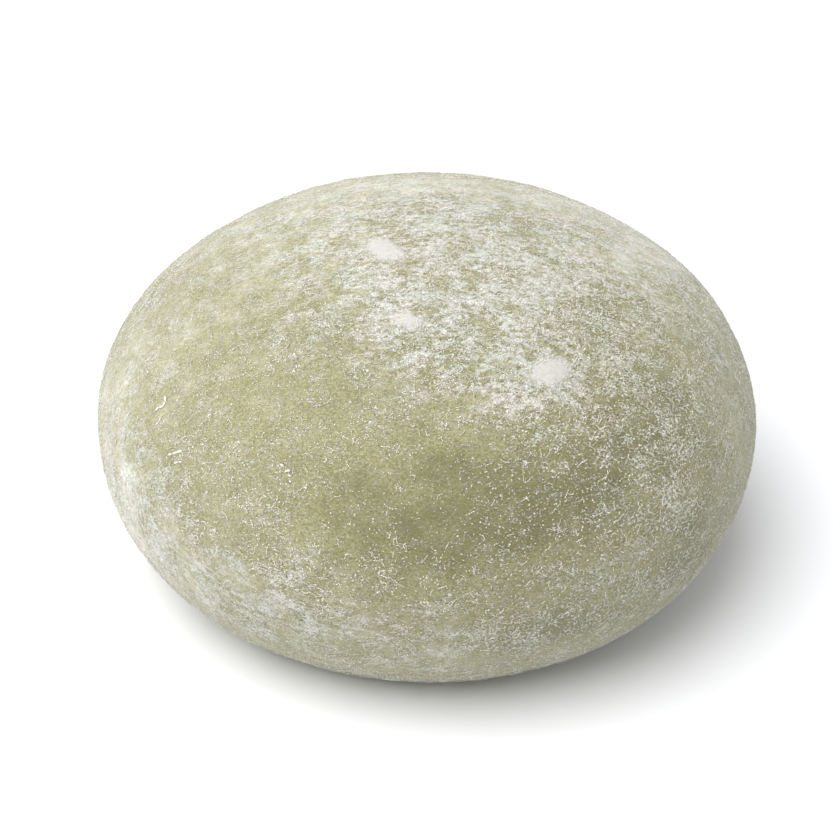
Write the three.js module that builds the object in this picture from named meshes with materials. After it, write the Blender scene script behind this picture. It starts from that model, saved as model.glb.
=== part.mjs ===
// A mochi rice cake: one soft, solid, squashed ball of steamed rice dough that has
// settled under its own weight. Millimetres, +Z up. The origin is the middle of the
// flat spot that it rests on, and -Y is the front.
//
// The outline is two superellipses that meet at the widest level, the belly: the
// upper one closes over the crown, and the lower one is cut off by the ground,
// which leaves the flat spot. The round sections then lose their perfect symmetry:
// a dough ball rolled by hand is a little oval and a little three-cornered, and it
// leans slightly.
import * as THREE from "three";

// ---- sizes ----
const BELLY_RADIUS = 30.0; // mean radius at the widest level
const BELLY_HEIGHT = 14.0; // height of the widest level above the ground
const CROWN_RISE = 18.42; // crown above the widest level
const LOWER_SEMI = 20.06; // half height of the lower superellipse, before the cut
const CROWN_POWER = 2.06; // 2 is an ellipse; more is fuller
const LOWER_POWER = 2.18;
const HEIGHT = BELLY_HEIGHT + CROWN_RISE;

// ---- the hand-rolled unevenness: how far the radius departs from round ----
const OVAL = { cos: 0.515, sin: -0.193 }; // two lobes, the same at each level
const THREE_CORNER = { cos: -0.073, sin: -0.151 }; // three lobes
const OVAL_TWIST = { cos: 0.031, sin: 0.068 }; // two lobes that swap from ground to crown
const LEAN = -0.173; // sideways lean of the sections, from ground to crown

// ---- mesh ----
const SEGMENTS = 84; // around
const CROWN_STEPS = 22; // belly to crown
const LOWER_STEPS = 17; // ground to belly
const FLAT_STEPS = 3; // middle of the flat spot to its rim
const COLOR = 0xb8b394; // pale yomogi green under rice starch

// Radius of the flat spot: where the lower superellipse meets the ground.
const lowerRadius = (z) =>
  BELLY_RADIUS *
  Math.pow(
    1 - Math.pow((BELLY_HEIGHT - z) / LOWER_SEMI, LOWER_POWER),
    1 / LOWER_POWER,
  );
const FLAT_RADIUS = lowerRadius(0);

// Half section from the middle of the flat spot, out to its rim, up over the belly
// and in to the crown. It starts and ends on the axis.
function halfSection() {
  const points = [];
  for (let i = 0; i < FLAT_STEPS; i++)
    points.push(new THREE.Vector2((FLAT_RADIUS * i) / FLAT_STEPS, 0));
  for (let i = 0; i < LOWER_STEPS; i++) {
    // closer together at the ground, where the section turns under
    const z = BELLY_HEIGHT * Math.pow(i / LOWER_STEPS, 1.25);
    points.push(new THREE.Vector2(lowerRadius(z), z));
  }
  for (let i = 0; i < CROWN_STEPS; i++) {
    const a = (i / CROWN_STEPS) * (Math.PI / 2);
    points.push(
      new THREE.Vector2(
        BELLY_RADIUS * Math.pow(Math.cos(a), 2 / CROWN_POWER),
        BELLY_HEIGHT + CROWN_RISE * Math.pow(Math.sin(a), 2 / CROWN_POWER),
      ),
    );
  }
  points.push(new THREE.Vector2(0, HEIGHT));
  return points;
}

// Moves one point of the round body to its place on the hand-rolled one. It depends
// on the point alone, so the seam of the lathe stays shut.
function handRolled(p) {
  const r = Math.hypot(p.x, p.y);
  const a = Math.atan2(p.y, p.x);
  const u = p.z / HEIGHT;
  const share = r / BELLY_RADIUS;
  const rolled =
    r +
    share *
      (OVAL.cos * Math.cos(2 * a) +
        OVAL.sin * Math.sin(2 * a) +
        THREE_CORNER.cos * Math.cos(3 * a) +
        THREE_CORNER.sin * Math.sin(3 * a)) +
    share *
      (2 * u - 1) *
      (OVAL_TWIST.cos * Math.cos(2 * a) + OVAL_TWIST.sin * Math.sin(2 * a));
  p.x = rolled * Math.cos(a) + LEAN * (1 - 2 * u);
  p.y = rolled * Math.sin(a);
  return p;
}

function mochiGeometry() {
  const geometry = new THREE.LatheGeometry(halfSection(), SEGMENTS);
  geometry.rotateX(Math.PI / 2); // the lathe's axis is +Y: stand it up along +Z
  const position = geometry.getAttribute("position");
  const p = new THREE.Vector3();
  for (let i = 0; i < position.count; i++) {
    p.fromBufferAttribute(position, i);
    if (Math.abs(p.z) < 1e-6) p.z = 0; // the flat spot stays exactly flat
    handRolled(p);
    position.setXYZ(i, p.x, p.y, p.z);
  }
  // The origin stays in the middle of the body's box.
  geometry.computeBoundingBox();
  const middle = geometry.boundingBox.getCenter(new THREE.Vector3());
  geometry.translate(-middle.x, -middle.y, 0);
  geometry.computeVertexNormals();
  return geometry;
}

const group = new THREE.Group();
group.name = "mochi_rice_cake";

const mochi = new THREE.Mesh(
  mochiGeometry(),
  new THREE.MeshStandardMaterial({
    color: COLOR,
    roughness: 0.85,
    metalness: 0,
  }),
);
mochi.name = "mochi";
group.add(mochi);

export default group;
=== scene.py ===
"""Mochi rice cake: the looks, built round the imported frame.

Lengths are millimetres in the shape code and metres in the meshes. The dusting of rice
starch is described by a short list of places on the cake (DUSTING), which feeds a soft
film in the skin's material, real relief on the skin, and loose grains laid as mesh.
"""
import math

import bpy
import numpy as np
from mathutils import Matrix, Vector


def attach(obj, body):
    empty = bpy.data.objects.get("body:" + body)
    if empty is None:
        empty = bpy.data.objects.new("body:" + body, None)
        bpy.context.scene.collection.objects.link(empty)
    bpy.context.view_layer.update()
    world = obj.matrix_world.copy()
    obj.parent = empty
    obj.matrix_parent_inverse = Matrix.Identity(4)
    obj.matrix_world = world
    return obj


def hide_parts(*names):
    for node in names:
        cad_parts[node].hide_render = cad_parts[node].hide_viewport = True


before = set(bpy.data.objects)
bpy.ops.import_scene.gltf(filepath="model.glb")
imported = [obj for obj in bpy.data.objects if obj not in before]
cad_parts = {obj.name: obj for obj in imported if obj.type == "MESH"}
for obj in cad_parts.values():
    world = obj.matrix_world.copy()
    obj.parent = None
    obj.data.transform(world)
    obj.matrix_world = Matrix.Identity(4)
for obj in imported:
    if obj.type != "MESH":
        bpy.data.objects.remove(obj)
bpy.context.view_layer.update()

MM = 0.001
NODE = "mochi"

# ---------------------------------------------------------------- shape of the cake
BELLY_RADIUS = 30.0
BELLY_HEIGHT = 14.0
CROWN_RISE = 18.42
LOWER_SEMI = 20.06
CROWN_POWER = 2.06
LOWER_POWER = 2.18
HEIGHT = BELLY_HEIGHT + CROWN_RISE
OVAL = (0.515, -0.193)
THREE_CORNER = (-0.073, -0.151)
OVAL_TWIST = (0.031, 0.068)
LEAN = -0.173
MIDDLE = (-0.091, 0.148)  # what part.mjs takes off to keep the origin in the middle


def half_section():
    """Crown to the middle of the flat spot: radius, height and distance along it."""
    a = np.linspace(math.pi / 2, 0, 700)
    r1 = BELLY_RADIUS * np.cos(a) ** (2 / CROWN_POWER)
    z1 = BELLY_HEIGHT + CROWN_RISE * np.sin(a) ** (2 / CROWN_POWER)
    z2 = np.linspace(BELLY_HEIGHT, 0, 500)[1:]
    r2 = BELLY_RADIUS * (1 - ((BELLY_HEIGHT - z2) / LOWER_SEMI) ** LOWER_POWER) ** (
        1 / LOWER_POWER
    )
    r3 = np.linspace(r2[-1], 0, 160)[1:]
    r = np.r_[r1, r2, r3]
    z = np.r_[z1, z2, np.zeros_like(r3)]
    s = np.r_[0, np.cumsum(np.hypot(np.diff(r), np.diff(z)))]
    # even steps, then a soft edge where the side turns under into the flat spot
    t = np.linspace(0, s[-1], 2400)
    r, z = np.interp(t, s, r), np.interp(t, s, z)
    k = np.hanning(47)
    k /= k.sum()
    zs = np.convolve(np.r_[np.full(23, z[0]), z, np.full(23, z[-1])], k, "valid")
    rs = np.convolve(np.r_[-r[23:0:-1], r, -r[-2:-25:-1]], k, "valid")
    soft = np.clip((t - (s[-1] - 31)) / 5, 0, 1)  # only near the ground
    return r + soft * (rs - r), z + soft * (zs - z), t


SECTION = half_section()
ARC = SECTION[2][-1]


def hand_rolled(r, z, a):
    """The round section at angle a moved to the slightly uneven one, as in part.mjs."""
    u = z / HEIGHT
    share = r / BELLY_RADIUS
    r = r + share * (
        OVAL[0] * np.cos(2 * a)
        + OVAL[1] * np.sin(2 * a)
        + THREE_CORNER[0] * np.cos(3 * a)
        + THREE_CORNER[1] * np.sin(3 * a)
        + (2 * u - 1) * (OVAL_TWIST[0] * np.cos(2 * a) + OVAL_TWIST[1] * np.sin(2 * a))
    )
    x = r * np.cos(a) + LEAN * (1 - 2 * u) - MIDDLE[0]
    return np.stack([x, r * np.sin(a) - MIDDLE[1], z], -1)


# ---------------------------------------------------------------- seeded noise
def _gradients():
    g = np.random.default_rng(11).normal(size=(256, 3))
    return g / np.linalg.norm(g, axis=1)[:, None]


GRADIENTS = _gradients()


def noise(p, size, seed=0):
    """Smooth 3-D gradient noise, about -1 to 1, with features of this size in mm."""
    q = p / size + 37.0 + seed * 5.17
    i = np.floor(q).astype(np.int64)
    f = q - i
    w = f * f * f * (f * (f * 6 - 15) + 10)
    out = np.zeros(len(p))
    for dx in (0, 1):
        for dy in (0, 1):
            for dz in (0, 1):
                h = (
                    (i[:, 0] + dx) * 73856093
                    ^ (i[:, 1] + dy) * 19349663
                    ^ (i[:, 2] + dz) * 83492791
                    ^ (seed * 2654435 + 977)
                )
                h = (h ^ (h >> 13)) * 1274126177 & 0xFFFFFFFF
                g = GRADIENTS[(h ^ (h >> 16)) & 255]
                d = f - (dx, dy, dz)
                out += (
                    (g * d).sum(1)
                    * (w[:, 0] if dx else 1 - w[:, 0])
                    * (w[:, 1] if dy else 1 - w[:, 1])
                    * (w[:, 2] if dz else 1 - w[:, 2])
                )
    return out * 1.7


def fbm(p, size, octaves, seed=0, gain=0.5):
    total, amp, norm = np.zeros(len(p)), 1.0, 0.0
    for k in range(octaves):
        total += amp * noise(p, size / 2**k, seed + 31 * k)
        norm += amp
        amp *= gain
    return total / norm


def smooth(x, lo, hi):
    t = np.clip((x - lo) / (hi - lo), 0, 1)
    return t * t * (3 - 2 * t)


# ---------------------------------------------------------------- where the starch lies
# name, place (mm), half width round the cake, half height up its side (mm), how firmly
# it overrides what is under it, film of fine starch, amount of loose grains
DUSTING = [
    ("crown_cap", (0.4, 0.3, 32.4), 22.5, 11.3, 1.0, 0.80, 0.62),
    ("back_left_shoulder", (-14.1, 4.0, 30.2), 13.0, 10.0, 0.8, 0.54, 0.30),
    ("left_shoulder", (-19.5, -3.0, 28.2), 11.0, 7.2, 0.8, 0.44, 0.28),
    ("back_edge", (0.4, 12.4, 30.8), 22.0, 5.2, 0.9, 0.62, 0.20),
    ("back_right_edge", (20.0, 8.1, 27.2), 13.5, 7.5, 0.8, 0.76, 0.26),
    ("middle_drift", (3.8, -9.0, 31.5), 7.2, 4.4, 0.8, 0.88, 0.80),
    ("near_drift", (1.2, -13.0, 30.7), 5.5, 2.3, 0.7, 0.52, 0.78),
    ("right_drift", (11.2, -15.4, 28.6), 5.6, 2.3, 0.9, 0.88, 0.80),
    ("right_shoulder_gap", (14.2, -9.4, 29.6), 5.4, 3.0, 0.8, 0.12, 1.00),
    ("crown_gap", (9.0, 3.5, 31.6), 3.6, 2.9, 0.8, 0.30, 0.60),
    ("right_side", (18.4, -17.1, 24.9), 9.6, 6.5, 0.8, 0.00, 0.78),
    # Partly painted shade: these three rows keep the film low to darken the right side as shade would, as well as
    # leaving the dough there bare of starch.
    ("right_gap_and_painted_shade", (22.8, -11.0, 24.9), 4.5, 3.1, 0.6, 0.00, 0.44),
    ("right_edge", (27.2, -11.4, 19.6), 4.7, 12.1, 0.9, 0.46, 0.34),
    ("low_right_edge", (22.8, -20.3, 12.3), 6.6, 7.1, 0.8, 0.00, 0.46),
    ("left_middle", (-12.9, -18.8, 26.1), 12.9, 7.8, 0.9, 0.31, 0.24),
    ("left_edge", (-27.4, -6.8, 21.2), 6.8, 8.4, 0.9, 0.52, 0.22),
    ("left_gap", (-23.6, -14.3, 21.7), 3.7, 2.4, 0.6, 0.35, 0.28),
    ("low_left_edge", (-26.3, -14.5, 10.9), 7.0, 6.7, 0.9, 1.00, 0.36),
    ("low_left", (-19.2, -22.7, 12.0), 6.3, 4.5, 0.8, 0.78, 0.44),
    ("front_bare", (0.4, -26.6, 22.3), 13.2, 7.1, 1.0, 0.06, 0.16),
    ("front_right_bare", (11.4, -24.6, 22.3), 6.8, 4.7, 0.8, 0.00, 0.36),
    ("middle_bare", (-6.6, -18.1, 28.2), 5.8, 4.7, 0.5, 0.24, 0.32),
    ("low_patch_a", (-11.1, -27.0, 16.8), 4.7, 3.2, 0.8, 0.45, 0.58),
    ("low_patch_b", (-10.5, -27.4, 11.5), 6.8, 3.0, 0.9, 0.65, 0.52),
    ("bottom_band", (-3.8, -28.6, 9.2), 10.1, 2.6, 0.9, 0.34, 0.54),
    ("bottom_smudge", (1.6, -29.1, 9.9), 3.5, 1.9, 0.8, 0.58, 0.42),
    # Partly painted shade: this row keeps the film at nought to darken the lower right front as shade would, as well as
    # leaving the dough there bare of starch.
    ("bottom_right", (11.2, -27.5, 10.7), 8.7, 3.4, 0.8, 0.00, 0.50),
]
# Soft heaps of starch: place, half width, half depth, height (mm), turn (degrees)
HEAPS = [
    ("crown_heap", (-3.6, -2.1, 32.3), 2.1, 1.25, 0.34, 8),
    ("near_heap", (-1.7, -11.4, 31.1), 1.4, 0.75, 0.26, -20),
    ("right_heap", (10.3, -15.6, 28.7), 1.75, 1.3, 0.36, 5),
]


def frame_at(n):
    """Two tangents at each normal: round the cake, and up its side."""
    t1 = np.cross(np.array([0.0, 0, 1]), n)
    t1 /= np.maximum(np.linalg.norm(t1, axis=-1, keepdims=True), 1e-9)
    return t1, np.cross(n, t1)


def rough_normal(p):
    n = np.array([p[0] / BELLY_RADIUS**2, p[1] / BELLY_RADIUS**2, (p[2] - BELLY_HEIGHT) / CROWN_RISE**2])
    return n / np.linalg.norm(n)


def dusting(p):
    """Film and grain at points p (mm, N by 3), both 0 to 1."""
    warp = np.stack([fbm(p, 6.0, 3, seed=s) for s in (101, 102, 103)], -1) * 2.4
    q = p + warp
    z = p[:, 2]
    back = smooth(p[:, 1], -12, 8)
    film = 0.34 + 0.30 * fbm(p, 9.0, 3, 5) * (0.35 + 0.65 * back)
    grain = 0.50 + 0.40 * fbm(p, 6.0, 3, 6) * (0.35 + 0.65 * back)
    cap = smooth(z, 26, 31.5)
    film += cap * back * 0.25
    low = 1 - smooth(z, 3, 10)
    film += low * (0.34 - film) * 0.8
    for name, c, w, h, firm, f, g in DUSTING:
        c = np.array(c)
        n = rough_normal(c)
        t1, t2 = frame_at(n)
        d = q - c
        k = np.exp(-(((d @ t1) / w) ** 2 + ((d @ t2) / h) ** 2) ** 1.25) * (
            np.abs((p - c) @ n) < 16
        )
        film += k * firm * (f - film)
        grain += k * firm * (g - grain)
    mottle = fbm(p, 2.6, 3, 9)
    film = film + mottle * (0.10 + 0.24 * film)
    grain = grain + fbm(p, 3.2, 3, 12) * (0.12 + 0.45 * grain)
    return np.clip(film, 0, 1), np.clip(grain, 0, 1)


# ---------------------------------------------------------------- skin mesh
FACE_CELLS = 125  # cells along each edge of the six faces: 187,500 triangles


def skin_grid():
    """A cube's six gridded faces blown up to a ball: directions, quads and their map."""
    m = FACE_CELLS
    t = np.tan(np.linspace(-1, 1, m + 1) * math.pi / 4)
    u, v = np.meshgrid(t, t, indexing="xy")
    one = np.ones_like(u)
    faces = [
        (one, u, v),  # right
        (-one, -u, v),  # left
        (-u, one, v),  # back
        (u, -one, v),  # front
        (u, v, one),  # top
        (u, -v, -one),  # under
    ]
    # Where each face lies on the map: x, y, width, height
    place = [
        (0.0, 0.0, 0.42, 0.5),
        (0.42, 0.0, 0.42, 0.5),
        (0.0, 0.5, 1 / 3, 0.5),
        (1 / 3, 0.5, 1 / 3, 0.5),
        (2 / 3, 0.5, 1 / 3, 0.5),
        (0.84, 0.0, 0.16, 0.5),
    ]
    pts, quads, maps = [], [], []
    idx = np.arange((m + 1) ** 2).reshape(m + 1, m + 1)
    quad = np.stack([idx[:-1, :-1], idx[:-1, 1:], idx[1:, 1:], idx[1:, :-1]], -1).reshape(-1, 4)
    g = np.linspace(0, 1, m + 1)
    gu, gv = np.meshgrid(g, g, indexing="xy")
    for k, (f, (x, y, w, h)) in enumerate(zip(faces, place)):
        p = np.stack(f, -1).reshape(-1, 3)
        pts.append(p / np.linalg.norm(p, axis=1)[:, None])
        quads.append(quad + k * (m + 1) ** 2)
        pad = 0.004
        maps.append(
            np.stack(
                [x + pad + gu * (w - 2 * pad), y + pad + gv * (h - 2 * pad)], -1
            ).reshape(-1, 2)
        )
    pts, quads, maps = np.concatenate(pts), np.concatenate(quads), np.concatenate(maps)
    corner_map = maps[quads.ravel()]
    key = np.round(pts * 1e5).astype(np.int64)
    _, first, inverse = np.unique(key, axis=0, return_index=True, return_inverse=True)
    return pts[first], inverse.ravel()[quads], corner_map


def section_point(d):
    """Direction to the place on the undisturbed cake."""
    r_s, z_s, t_s = SECTION
    # the flat spot is hidden: it takes a smaller share of the cells
    share = np.arccos(np.clip(d[:, 2], -1, 1)) / math.pi
    flat = 21.9
    knots = np.array([0, 0.84, 1.0])
    arc = np.interp(share, knots, [0, ARC - flat, ARC])
    r, z = np.interp(arc, t_s, r_s), np.interp(arc, t_s, z_s)
    return hand_rolled(r, z, np.arctan2(d[:, 1], d[:, 0]))


def vertex_normals(p, quads):
    a = p[quads[:, 2]] - p[quads[:, 0]]
    b = p[quads[:, 3]] - p[quads[:, 1]]
    n = np.cross(a, b)
    out = np.zeros_like(p)
    for k in range(4):
        for c in range(3):
            out[:, c] += np.bincount(quads[:, k], n[:, c], len(p))
    return out / np.maximum(np.linalg.norm(out, axis=1)[:, None], 1e-12)


def relief(p, film, grain):
    """How far the skin stands out (mm): soft dough dimples, then the starch on it."""
    h = 0.16 * fbm(p, 13.0, 2, 21)
    h += 0.050 * fbm(p, 4.0, 2, 22)
    h += 0.022 * fbm(p, 1.3, 2, 23)
    cake = smooth(film + 0.25 * fbm(p, 1.6, 3, 24), 0.25, 0.9)
    h += cake * (0.035 + 0.05 * np.clip(fbm(p, 1.1, 2, 25), -0.5, 1))
    h += grain * 0.03 * np.clip(noise(p, 0.75, 26), 0, 1)
    for name, c, w, d_, tall, turn in HEAPS:
        k = heap_share(p, c, w, d_, turn)
        h += k * tall * 0.75
    return h


def heap_share(p, c, w, d_, turn):
    c = np.array(c)
    n = rough_normal(c)
    t1, t2 = frame_at(n)
    ca, sa = math.cos(math.radians(turn)), math.sin(math.radians(turn))
    e1, e2 = ca * t1 + sa * t2, -sa * t1 + ca * t2
    q = p + np.stack([fbm(p, 1.6, 2, s) for s in (61, 62, 63)], -1) * 0.35
    rr = np.hypot(((q - c) @ e1) / w, ((q - c) @ e2) / d_)
    near = np.abs((p - c) @ n) < 4
    return (1 - smooth(rr, 0.05, 1.70)) * near


def make_mesh(name, verts_mm, faces, smooth_shade=True):
    """A mesh object from arrays; faces all have the same number of corners."""
    me = bpy.data.meshes.new(name)
    n, k = faces.shape
    me.vertices.add(len(verts_mm))
    me.vertices.foreach_set("co", (verts_mm * MM).astype(np.float32).ravel())
    me.loops.add(n * k)
    me.loops.foreach_set("vertex_index", faces.astype(np.int32).ravel())
    me.polygons.add(n)
    me.polygons.foreach_set("loop_start", np.arange(0, n * k, k, dtype=np.int32))
    me.polygons.foreach_set("loop_total", np.full(n, k, dtype=np.int32))
    me.polygons.foreach_set("use_smooth", np.full(n, smooth_shade))
    me.update(calc_edges=True)
    me.validate()
    ob = bpy.data.objects.new(name, me)
    bpy.context.scene.collection.objects.link(ob)
    return ob


def add_float(ob, name, values):
    a = ob.data.attributes.new(name, "FLOAT", "POINT")
    a.data.foreach_set("value", values.astype(np.float32))


def add_map(ob, uv):
    layer = ob.data.uv_layers.new(name="OFBake")
    layer.uv.foreach_set("vector", uv.astype(np.float32).ravel())


directions, quads, corner_map = skin_grid()
base = section_point(directions)
normal = vertex_normals(base, quads)
film, grain = dusting(base)
rise = relief(base, film, grain)
rise -= 0.04  # the dough lies a little inside the plain body, so that the starch ends at it
ground = smooth(base[:, 2], 0.4, 3.0)
skin_pts = base + normal * (rise * ground)[:, None]
skin_pts[:, 2] = np.maximum(skin_pts[:, 2], 0.0)
skin = make_mesh("mochi_skin", skin_pts, quads)
add_map(skin, corner_map)
heap = np.zeros(len(base))
for name, c, w, d_, tall, turn in HEAPS:
    heap = np.maximum(heap, heap_share(base, c, w, d_, turn))
add_float(skin, "film", film)
add_float(skin, "grain", grain)
add_float(skin, "heap", heap)


# ---------------------------------------------------------------- materials
class Nodes:
    """Short hand for building a node tree."""

    def __init__(self, name):
        self.mat = bpy.data.materials.new(name)
        self.mat.use_nodes = True
        self.tree = self.mat.node_tree
        self.tree.nodes.clear()
        self.out = self.tree.nodes.new("ShaderNodeOutputMaterial")

    def add(self, kind, **values):
        node = self.tree.nodes.new(kind)
        for k, v in values.items():
            setattr(node, k, v)
        return node

    def put(self, socket, value):
        if isinstance(value, bpy.types.NodeSocket):
            self.tree.links.new(value, socket)
        elif value is not None:
            socket.default_value = value

    def math(self, op, a, b=None, c=None, clamp=False):
        n = self.add("ShaderNodeMath", operation=op, use_clamp=clamp)
        for s, v in zip(n.inputs, (a, b, c)):
            self.put(s, v)
        return n.outputs[0]

    def vmath(self, op, a, b=None, scale=None):
        n = self.add("ShaderNodeVectorMath", operation=op)
        self.put(n.inputs[0], a)
        if b is not None:
            self.put(n.inputs[1], b)
        if scale is not None:
            self.put(n.inputs["Scale"], scale)
        return n.outputs[0]

    def step(self, x, lo, hi, a=0.0, b=1.0):
        n = self.add("ShaderNodeMapRange", interpolation_type="SMOOTHSTEP", clamp=True)
        for k, v in (("Value", x), ("From Min", lo), ("From Max", hi), ("To Min", a), ("To Max", b)):
            self.put(n.inputs[k], v)
        return n.outputs[0]

    def mix(self, f, a, b, kind="MIX"):
        n = self.add("ShaderNodeMix", data_type="RGBA", blend_type=kind)
        self.put(n.inputs[0], f)
        self.put(n.inputs[6], a)
        self.put(n.inputs[7], b)
        return n.outputs[2]

    def swing(self, share, by, start):
        """start, changed by this much where share is 1."""
        return self.math("MULTIPLY_ADD", share, by, start)

    def noise(self, vec, scale, detail=2.0, rough=0.5, distortion=0.0, colour=False):
        n = self.add("ShaderNodeTexNoise", noise_dimensions="3D")
        self.put(n.inputs["Vector"], vec)
        n.inputs["Scale"].default_value = scale
        n.inputs["Detail"].default_value = detail
        n.inputs["Roughness"].default_value = rough
        n.inputs["Distortion"].default_value = distortion
        return n.outputs["Color" if colour else "Fac"]

    def voronoi(self, vec, scale, feature="F1", randomness=1.0):
        n = self.add("ShaderNodeTexVoronoi", feature=feature)
        self.put(n.inputs["Vector"], vec)
        n.inputs["Scale"].default_value = scale
        n.inputs["Randomness"].default_value = randomness
        return n

    def attribute(self, name):
        n = self.add("ShaderNodeAttribute", attribute_name=name)
        return n.outputs["Fac"]

    def mm(self):
        c = self.add("ShaderNodeTexCoord")
        return self.vmath("SCALE", c.outputs["Object"], scale=1000.0)


def rgb(r, g, b):
    """sRGB 0-255 to linear."""
    def lin(c):
        c /= 255
        return c / 12.92 if c <= 0.04045 else ((c + 0.055) / 1.055) ** 2.4
    return (lin(r), lin(g), lin(b), 1.0)


STARCH_COOL = (232, 234, 226)
STARCH_WARM = (238, 233, 226)


def dough_material():
    k = Nodes("mochi_dough")
    p = k.mm()
    film, grain, heap = k.attribute("film"), k.attribute("grain"), k.attribute("heap")

    # dough: olive, with slow drifts to greener and to browner
    slow = k.noise(p, 0.16, 3.0, 0.55)
    mid = k.noise(k.vmath("ADD", p, (11.0, 3.0, 7.0)), 0.55, 3.0, 0.6)
    dough = k.mix(k.step(slow, 0.38, 0.64), rgb(143, 140, 97), rgb(151, 146, 106))
    dough = k.mix(k.step(mid, 0.40, 0.70, 0.0, 0.6), dough, rgb(129, 126, 85))
    fine = k.noise(k.vmath("MULTIPLY", p, (0.8, 1.0, 1.3)), 5.0, 3.0, 0.70)
    dough = k.mix(k.step(fine, 0.50, 0.65, 0.0, 0.75), dough, rgb(174, 170, 134))
    dough = k.mix(k.step(fine, 0.37, 0.50, 0.75, 0.0), dough, rgb(104, 101, 67))

    # film: a translucent coat. It is a smooth haze where few grains lie, and gathers in
    # clumps of half a millimetre to three where many do.
    stretched = k.vmath("MULTIPLY", p, (0.75, 1.10, 1.20))
    clump = k.noise(k.vmath("ADD", stretched, (5.0, 9.0, 1.0)), 0.62, 4.0, 0.62)
    mottle = k.noise(k.vmath("ADD", stretched, (15.0, 2.0, 6.0)), 2.0, 4.0, 0.70)
    crisp = k.step(grain, 0.22, 0.70)
    level = k.math("MULTIPLY", film, k.step(clump, 0.36, 0.62, k.swing(crisp, -0.42, 0.85), k.swing(crisp, 0.34, 1.12)))
    level = k.math("MULTIPLY", level, k.step(mottle, 0.36, 0.62, k.swing(crisp, -0.65, 0.82), k.swing(crisp, 0.45, 1.12)))
    thin = k.math("MULTIPLY", k.step(level, 0.0, 1.0), 0.86)
    # Partly painted shade: the dough is darkened where the film is thinnest, mostly on the front and right side,
    # standing in for shade there; partly the deeper tone of bare dough.
    dough = k.mix(k.step(film, 0.0, 0.20, 0.75, 0.0), dough, rgb(110, 108, 70))

    # web of short crooked grains: where a stretched noise crosses its middle
    flatter = k.vmath("MULTIPLY", p, (0.8, 1.0, 1.4))
    wob = k.noise(p, 2.6, 2.0, 0.5, colour=True)
    wobbled = k.vmath("ADD", flatter, k.vmath("SCALE", k.vmath("SUBTRACT", wob, (0.5, 0.5, 0.5)), scale=0.50))
    web = k.noise(wobbled, 3.3, 1.5, 0.60)
    ridge = k.math("ABSOLUTE", k.math("SUBTRACT", web, 0.5))
    broken = k.noise(k.vmath("ADD", p, (2.0, 4.0, 8.0)), 3.6, 2.0, 0.6)
    amount = k.math("MAXIMUM", grain, k.math("MULTIPLY", k.math("MULTIPLY", level, crisp), 0.85))
    amount = k.math("MULTIPLY", amount, k.step(clump, 0.36, 0.62, 0.40, 1.35))
    width = k.math("MULTIPLY", k.step(amount, 0.0, 1.0, 0.012, 0.095), k.step(broken, 0.42, 0.54))
    near = k.math("DIVIDE", ridge, k.math("ADD", width, 0.003))
    strokes = k.math("SUBTRACT", 1.0, k.step(near, 0.35, 1.30))
    bright = k.step(k.noise(k.vmath("ADD", p, (7.0, 1.0, 3.0)), 3.1, 2.0, 0.6), 0.38, 0.58, 0.30, 1.0)
    strokes = k.math("MULTIPLY", strokes, k.math("MULTIPLY", bright, k.step(amount, 0.02, 0.55, 0.25, 1.0)))

    # the thin dark line beside a grain, where it shades the dough
    beside = k.math("MULTIPLY", k.step(near, 1.1, 1.8), k.math("SUBTRACT", 1.0, k.step(near, 2.0, 4.0)))
    beside = k.math("MULTIPLY", beside, k.step(amount, 0.05, 0.6, 0.0, 0.85))
    dough = k.mix(beside, dough, rgb(96, 92, 64))

    # specks: single fine grains
    cells = k.voronoi(wobbled, 4.4)
    lot = k.add("ShaderNodeSeparateColor")
    k.put(lot.inputs[0], cells.outputs["Color"])
    there = k.step(k.math("ADD", lot.outputs[0], k.math("MULTIPLY", amount, 0.65)), 0.82, 0.97)
    speck = k.math("MULTIPLY", there, k.math("SUBTRACT", 1.0, k.step(cells.outputs["Distance"], 0.14, 0.44)))
    speck = k.math("MULTIPLY", speck, k.math("ADD", k.math("MULTIPLY", lot.outputs[1], 0.55), 0.30))

    loose = k.math("MAXIMUM", strokes, speck)
    thin = k.math("MULTIPLY", thin, k.math("SUBTRACT", 1.0, k.math("MULTIPLY", beside, 0.55)))
    cover = k.math("MAXIMUM", loose, k.step(k.math("ADD", heap, k.math("MULTIPLY", k.math("SUBTRACT", mottle, 0.5), 1.1)), 0.06, 0.80, 0.0, 0.98))
    total = k.math("SUBTRACT", 1.0, k.math("MULTIPLY", k.math("SUBTRACT", 1.0, thin), k.math("SUBTRACT", 1.0, cover)))

    tint = k.noise(k.vmath("ADD", p, (1.0, 7.0, 5.0)), 0.30, 2.0, 0.5)
    starch = k.mix(k.step(tint, 0.36, 0.66), rgb(*STARCH_COOL), rgb(*STARCH_WARM))
    # where it is thin the dough shows through it
    haze = k.mix(k.step(level, 0.20, 0.80), rgb(208, 204, 165), starch)
    colour = k.mix(thin, dough, haze)
    colour = k.mix(cover, colour, starch)
    colour = k.mix(k.step(heap, 0.05, 0.70), colour, rgb(203, 200, 194))

    bump1 = k.add("ShaderNodeBump")
    bump1.inputs["Strength"].default_value = 1.0
    bump1.inputs["Distance"].default_value = 0.00014
    height = k.math("ADD", k.math("MULTIPLY", loose, 0.75), k.math("MULTIPLY", fine, 0.45))
    height = k.math("ADD", height, k.math("MULTIPLY", thin, 0.5))
    height = k.math("MULTIPLY", height, k.step(heap, 0.20, 0.70, 1.0, 0.25))
    k.put(bump1.inputs["Height"], height)

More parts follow.
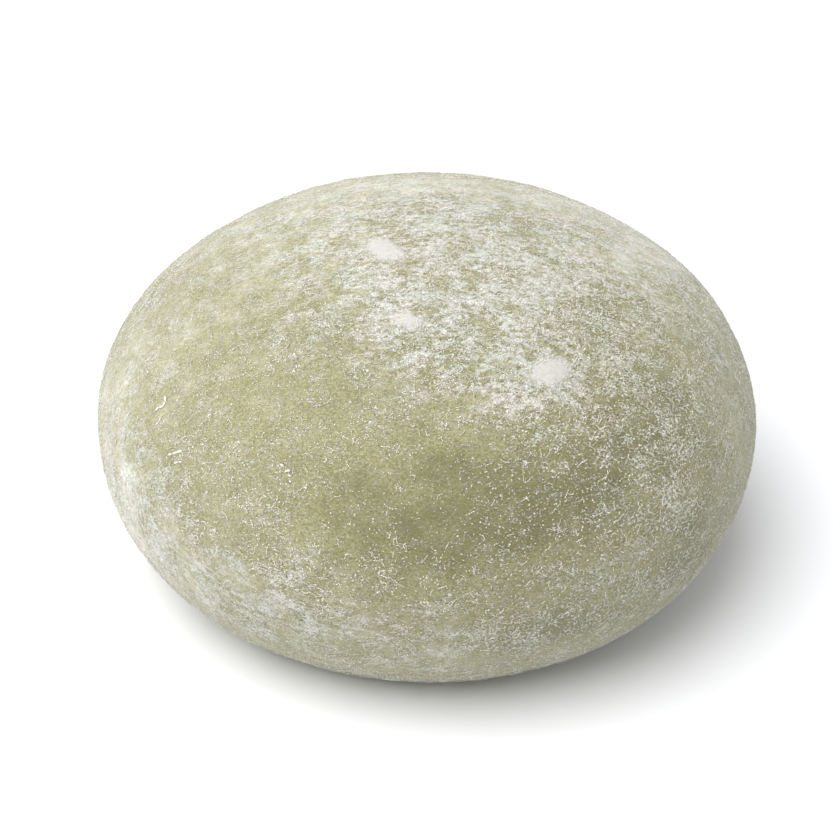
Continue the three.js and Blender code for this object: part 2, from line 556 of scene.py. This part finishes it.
    s = k.add("ShaderNodeBsdfPrincipled")
    k.put(s.inputs["Base Color"], colour)
    k.put(s.inputs["Roughness"], k.step(total, 0.0, 0.8, 0.50, 0.92))
    k.put(s.inputs["Normal"], bump1.outputs[0])
    s.inputs["IOR"].default_value = 1.42
    s.inputs["Specular IOR Level"].default_value = 0.30
    s.inputs["Subsurface Weight"].default_value = 0.15
    s.inputs["Subsurface Radius"].default_value = (1.0, 0.85, 0.4)
    s.inputs["Subsurface Scale"].default_value = 0.0009
    s.inputs["Sheen Weight"].default_value = 0.28
    s.inputs["Sheen Roughness"].default_value = 0.5
    k.put(k.out.inputs["Surface"], s.outputs[0])
    return k.mat


skin.data.materials.append(dough_material())
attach(skin, "root")
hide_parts(NODE)


# ---------------------------------------------------------------- loose starch grains
def scatter(count, chance, seed):
    """Random places on the skin: kept where chance(film, grain, p) beats a throw."""
    rng = np.random.default_rng(seed)
    a, b, c, d = (skin_pts[quads[:, k]] for k in range(4))
    area = 0.5 * np.linalg.norm(np.cross(c - a, d - b), axis=1)
    area = area * (base[quads[:, 0], 2] > 0.6)
    pick = rng.choice(len(quads), size=count, p=area / area.sum())
    u, v = rng.random(count), rng.random(count)
    w = np.stack([(1 - u) * (1 - v), u * (1 - v), u * v, (1 - u) * v], -1)
    q = quads[pick]
    p = np.einsum("nk,nkc->nc", w, skin_pts[q])
    n = np.einsum("nk,nkc->nc", w, skin_normal[q])
    n /= np.linalg.norm(n, axis=1)[:, None]
    f = (w * film[q]).sum(1)
    g = (w * grain[q]).sum(1)
    off = 1 - smooth((w * heap[q]).sum(1), 0.35, 0.85)
    keep = rng.random(count) < chance(f, g, p) * off
    return p[keep], n[keep], f[keep], g[keep], rng


skin_normal = vertex_normals(skin_pts, quads)


def grains_mesh(name, centre, n, along, length, width, tall, rng, sink=0.25, white=0):
    """Each grain is an uneven four-sided spindle of eight triangles, lying on the skin."""
    m = len(centre)
    across = np.cross(n, along)
    ring = np.array([[0, 1, 0.1], [0, 0, 1.0], [0, -1, 0.1], [0, 0, -0.8]])
    local = np.zeros((m, 6, 3))
    local[:, 0] = (-1, 0, 0)
    local[:, 5] = (1, 0, 0)
    local[:, 1:5] = ring
    local[:, 1:5, 0] = rng.uniform(-0.35, 0.35, (m, 4))
    local += rng.uniform(-0.16, 0.16, local.shape)
    local *= np.stack([length / 2, width / 2, tall / 2], -1)[:, None, :]
    local[:, :, 2] += (tall / 2 * (1 - 2 * sink))[:, None]
    pts = (
        centre[:, None, :]
        + local[:, :, 0:1] * along[:, None, :]
        + local[:, :, 1:2] * across[:, None, :]
        + local[:, :, 2:3] * n[:, None, :]
    )
    tri = np.array([[0, 2, 1], [0, 3, 2], [0, 4, 3], [0, 1, 4], [5, 1, 2], [5, 2, 3], [5, 3, 4], [5, 4, 1]])
    faces = (tri[None] + (np.arange(m) * 6)[:, None, None]).reshape(-1, 3)
    ob = make_mesh(name, pts.reshape(-1, 3), faces)
    # each grain has a small square of the map to itself
    side = int(math.ceil(math.sqrt(m)))
    cell = np.stack([np.arange(m) % side, np.arange(m) // side], -1) / side
    flat = np.array([[0.15, 0.5], [0.5, 0.85], [0.5, 0.5], [0.5, 0.15], [0.45, 0.45], [0.85, 0.5]])
    uv = (cell[:, None, :] + flat[None] / side).reshape(-1, 2)
    add_map(ob, uv[faces.ravel()])
    tone = rng.random(m)
    tone[m - white:] = 0  # the last few stay white
    add_float(ob, "tone", np.repeat(tone, 6))
    return ob


def starch_material(name, cool, warm, rough, bump_mm):
    k = Nodes(name)
    p = k.mm()
    tint = k.noise(k.vmath("ADD", p, (1.0, 7.0, 5.0)), 0.30, 2.0, 0.5)
    each = k.attribute("tone")
    colour = k.mix(k.step(tint, 0.40, 0.62), rgb(*cool), rgb(*warm))
    colour = k.mix(k.math("MULTIPLY", each, 0.85), colour, rgb(186, 182, 150))
    crumb = k.noise(p, 14.0, 2.0, 0.6)
    bump = k.add("ShaderNodeBump")
    bump.inputs["Strength"].default_value = 0.6
    bump.inputs["Distance"].default_value = bump_mm * MM
    k.put(bump.inputs["Height"], crumb)
    s = k.add("ShaderNodeBsdfPrincipled")
    k.put(s.inputs["Base Color"], colour)
    k.put(s.inputs["Roughness"], k.step(crumb, 0.3, 0.7, rough - 0.08, rough + 0.05))
    k.put(s.inputs["Normal"], bump.outputs[0])
    s.inputs["Specular IOR Level"].default_value = 0.25
    k.put(k.out.inputs["Surface"], s.outputs[0])
    return k.mat


GRAINS = 24000  # at most, in each of the three pieces, eight triangles a grain


def lying(n, rng, lean=0.0):
    """A random direction along the skin at each place; lean pulls it round the cake."""
    t1, t2 = frame_at(n)
    a = rng.uniform(0, 2 * math.pi, len(n))
    d = t1 * (np.cos(a) * (1 + lean))[:, None] + t2 * np.sin(a)[:, None]
    return d / np.linalg.norm(d, axis=1)[:, None]


def clumping(p, size, seed):
    return smooth(fbm(p, size, 3, seed), -0.12, 0.38)


def fleck_chance(f, g, p):
    return np.clip((0.01 + 0.60 * g**1.5 + 0.08 * f) * (0.25 + 1.1 * clumping(p, 1.7, 71)), 0, 1)


def crumb_chance(f, g, p):
    return np.clip((0.05 + 0.55 * g**1.2 + 0.18 * f) * (0.35 + 1.0 * clumping(p, 1.1, 72)), 0, 1)


def squiggle_chance(f, g, p):
    return np.clip((0.01 + 0.80 * g**1.6) * (0.20 + 1.2 * clumping(p, 2.4, 73)), 0, 1)


def first(count, *arrays):
    return [x[:count] for x in arrays]


p_, n_, f_, g_, rng = scatter(120000, fleck_chance, 301)
p_, n_, g_ = first(GRAINS, p_, n_, g_)
m = len(p_)
size = rng.uniform(0.15, 0.24, m) + 0.13 * g_ * rng.random(m)
flecks = grains_mesh(
    "starch_flecks", p_, n_, lying(n_, rng, 0.4), size,
    size * rng.uniform(0.40, 0.66, m), size * rng.uniform(0.30, 0.44, m), rng, 0.30,
)

p_, n_, f_, g_, rng = scatter(110000, crumb_chance, 302)
p_, n_ = first(GRAINS, p_, n_)
m = len(p_)
size = rng.uniform(0.11, 0.20, m)
crumbs = grains_mesh(
    "starch_crumbs", p_, n_, lying(n_, rng), size,
    size * rng.uniform(0.7, 1.0, m), size * rng.uniform(0.45, 0.70, m), rng, 0.28,
)

LINKS = 4  # grains in a row that make one crooked thread
# A few larger curled shreds of starch: place, path round and up the cake (mm), thickness
SHREDS = [
    ((-22.8, -13.0, 23.4), [(-0.2, 0.9), (0.35, 0.6), (0.45, 0.2), (0.1, -0.2), (-0.1, -0.6)], 0.27),
    ((-22.6, -14.0, 22.6), [(0.0, 0.2), (0.1, -0.2), (0.0, -0.6)], 0.17),
    ((-21.2, -17.6, 21.6), [(-0.7, -0.4), (-0.3, -0.1), (0.1, 0.3), (0.6, 0.7)], 0.25),
    ((-21.0, -17.9, 21.2), [(0.0, -0.3), (0.4, 0.1), (0.7, 0.2)], 0.22),
    ((-11.3, -22.6, 23.8), [(-0.7, 0.3), (-0.3, 0.2)], 0.22),
    ((-11.3, -22.6, 23.8), [(-0.1, -0.1), (0.3, 0.05)], 0.26),
    ((-11.3, -22.6, 23.8), [(0.25, -0.4), (0.5, -0.35)], 0.22),
    ((-11.3, -22.6, 23.8), [(0.5, -0.75), (0.65, -0.85)], 0.22),
]


def nearest(q):
    """The skin's nearest point to q, and its normal."""
    k = int(((skin_pts - q) ** 2).sum(1).argmin())
    n = skin_normal[k]
    return q - n * ((q - skin_pts[k]) @ n), n


p_, n_, f_, g_, rng = scatter(60000, squiggle_chance, 303)
p_, n_ = first(GRAINS // LINKS - 10, p_, n_)
m = len(p_)
way = lying(n_, rng, 0.6)
link = rng.uniform(0.14, 0.22, m)
thick = rng.uniform(0.085, 0.135, m)
bend = rng.uniform(-0.9, 0.9, m)
at, rows = p_.copy(), []
for _ in range(LINKS):
    rows.append((at + way * (link / 2)[:, None], n_, way, link * 1.35, thick))
    at = at + way * link[:, None]
    bend = 0.6 * bend + rng.uniform(-0.7, 0.7, m)
    way = way * np.cos(bend)[:, None] + np.cross(n_, way) * np.sin(bend)[:, None]
for place, path, wide in SHREDS:
    c = np.array(place)
    t1, t2 = frame_at(rough_normal(c))
    line = np.array([nearest(c + u * t1 + v * t2)[0] for u, v in path])
    a_, b_ = line[:-1], line[1:]
    span = np.linalg.norm(b_ - a_, axis=1)
    mid = [nearest(q) for q in (a_ + b_) / 2]
    up = np.array([q[1] for q in mid])
    along = (b_ - a_) / span[:, None]
    along -= up * (along * up).sum(1)[:, None]
    along /= np.linalg.norm(along, axis=1)[:, None]
    rows.append((np.array([q[0] for q in mid]), up, along, span * 1.5, np.full(len(span), wide)))
c_, nn_, w_, l_, t_ = (np.concatenate(x) for x in zip(*rows))
threads = grains_mesh(
    "starch_threads", c_, nn_, w_, l_, t_, t_ * 0.85, rng, 0.25,
    white=sum(len(path) - 1 for _, path, _ in SHREDS),
)

for piece, cool, warm, rough, bump_mm in (
    (flecks, (240, 241, 234), (244, 240, 233), 0.90, 0.020),
    (crumbs, (236, 237, 229), (241, 237, 229), 0.92, 0.014),
    (threads, (238, 239, 231), (243, 239, 231), 0.90, 0.012),
):
    piece.data.materials.append(starch_material(piece.name, cool, warm, rough, bump_mm))
    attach(piece, "root")


# ---------------------------------------------------------------- camera, floor, light
ELEVATION = math.radians(36.0)
DISTANCE = 186.34
AIM_HEIGHT = 13.62
view = Vector((0, -math.cos(ELEVATION), math.sin(ELEVATION)))
cam_data = bpy.data.cameras.new("camera")
cam_data.lens = 85.0
cam_data.sensor_width = 36.0
cam_data.shift_x = -6.72 / 840
cam_data.shift_y = -10.32 / 840
cam_data.clip_start = 0.01
camera = bpy.data.objects.new("camera", cam_data)
camera.location = (Vector((-MIDDLE[0], -MIDDLE[1], AIM_HEIGHT)) + view * DISTANCE) * MM
camera.rotation_euler = (math.pi / 2 - ELEVATION, 0, 0)
bpy.context.scene.collection.objects.link(camera)
bpy.context.scene.camera = camera


def floor():
    me = bpy.data.meshes.new("floor")
    s = 3.0
    me.from_pydata([(-s, -s, -0.00004), (s, -s, -0.00004), (s, s, -0.00004), (-s, s, -0.00004)], [], [(0, 1, 2, 3)])
    ob = bpy.data.objects.new("floor", me)
    bpy.context.scene.collection.objects.link(ob)
    k = Nodes("floor_white")
    s_ = k.add("ShaderNodeBsdfPrincipled")
    s_.inputs["Base Color"].default_value = (0.935, 0.94, 0.96, 1)
    s_.inputs["Roughness"].default_value = 0.9
    s_.inputs["Specular IOR Level"].default_value = 0.1
    k.put(k.out.inputs["Surface"], s_.outputs[0])
    me.materials.append(k.mat)


def area_light(name, place, target, size, watts, colour=(1, 1, 1), size_y=None):
    d = bpy.data.lights.new(name, "AREA")
    d.shape = "RECTANGLE" if size_y else "DISK"
    d.size = size
    if size_y:
        d.size_y = size_y
    d.energy = watts
    d.color = colour
    ob = bpy.data.objects.new(name, d)
    ob.location = place
    ob.rotation_euler = (Vector(target) - Vector(place)).to_track_quat("-Z", "Y").to_euler()
    bpy.context.scene.collection.objects.link(ob)


floor()
area_light("key", (-0.268, -0.125, 0.634), (0, 0, 0.0), 0.81, 6.5, (1.0, 0.995, 0.985))
world = bpy.data.worlds.new("studio")
bpy.context.scene.world = world
world.use_nodes = True
bg = world.node_tree.nodes["Background"]
bg.inputs["Color"].default_value = (0.97, 0.985, 1.0, 1)
bg.inputs["Strength"].default_value = 0.54
bpy.context.scene.view_settings.view_transform = "Standard"
bpy.context.scene.view_settings.look = "None"
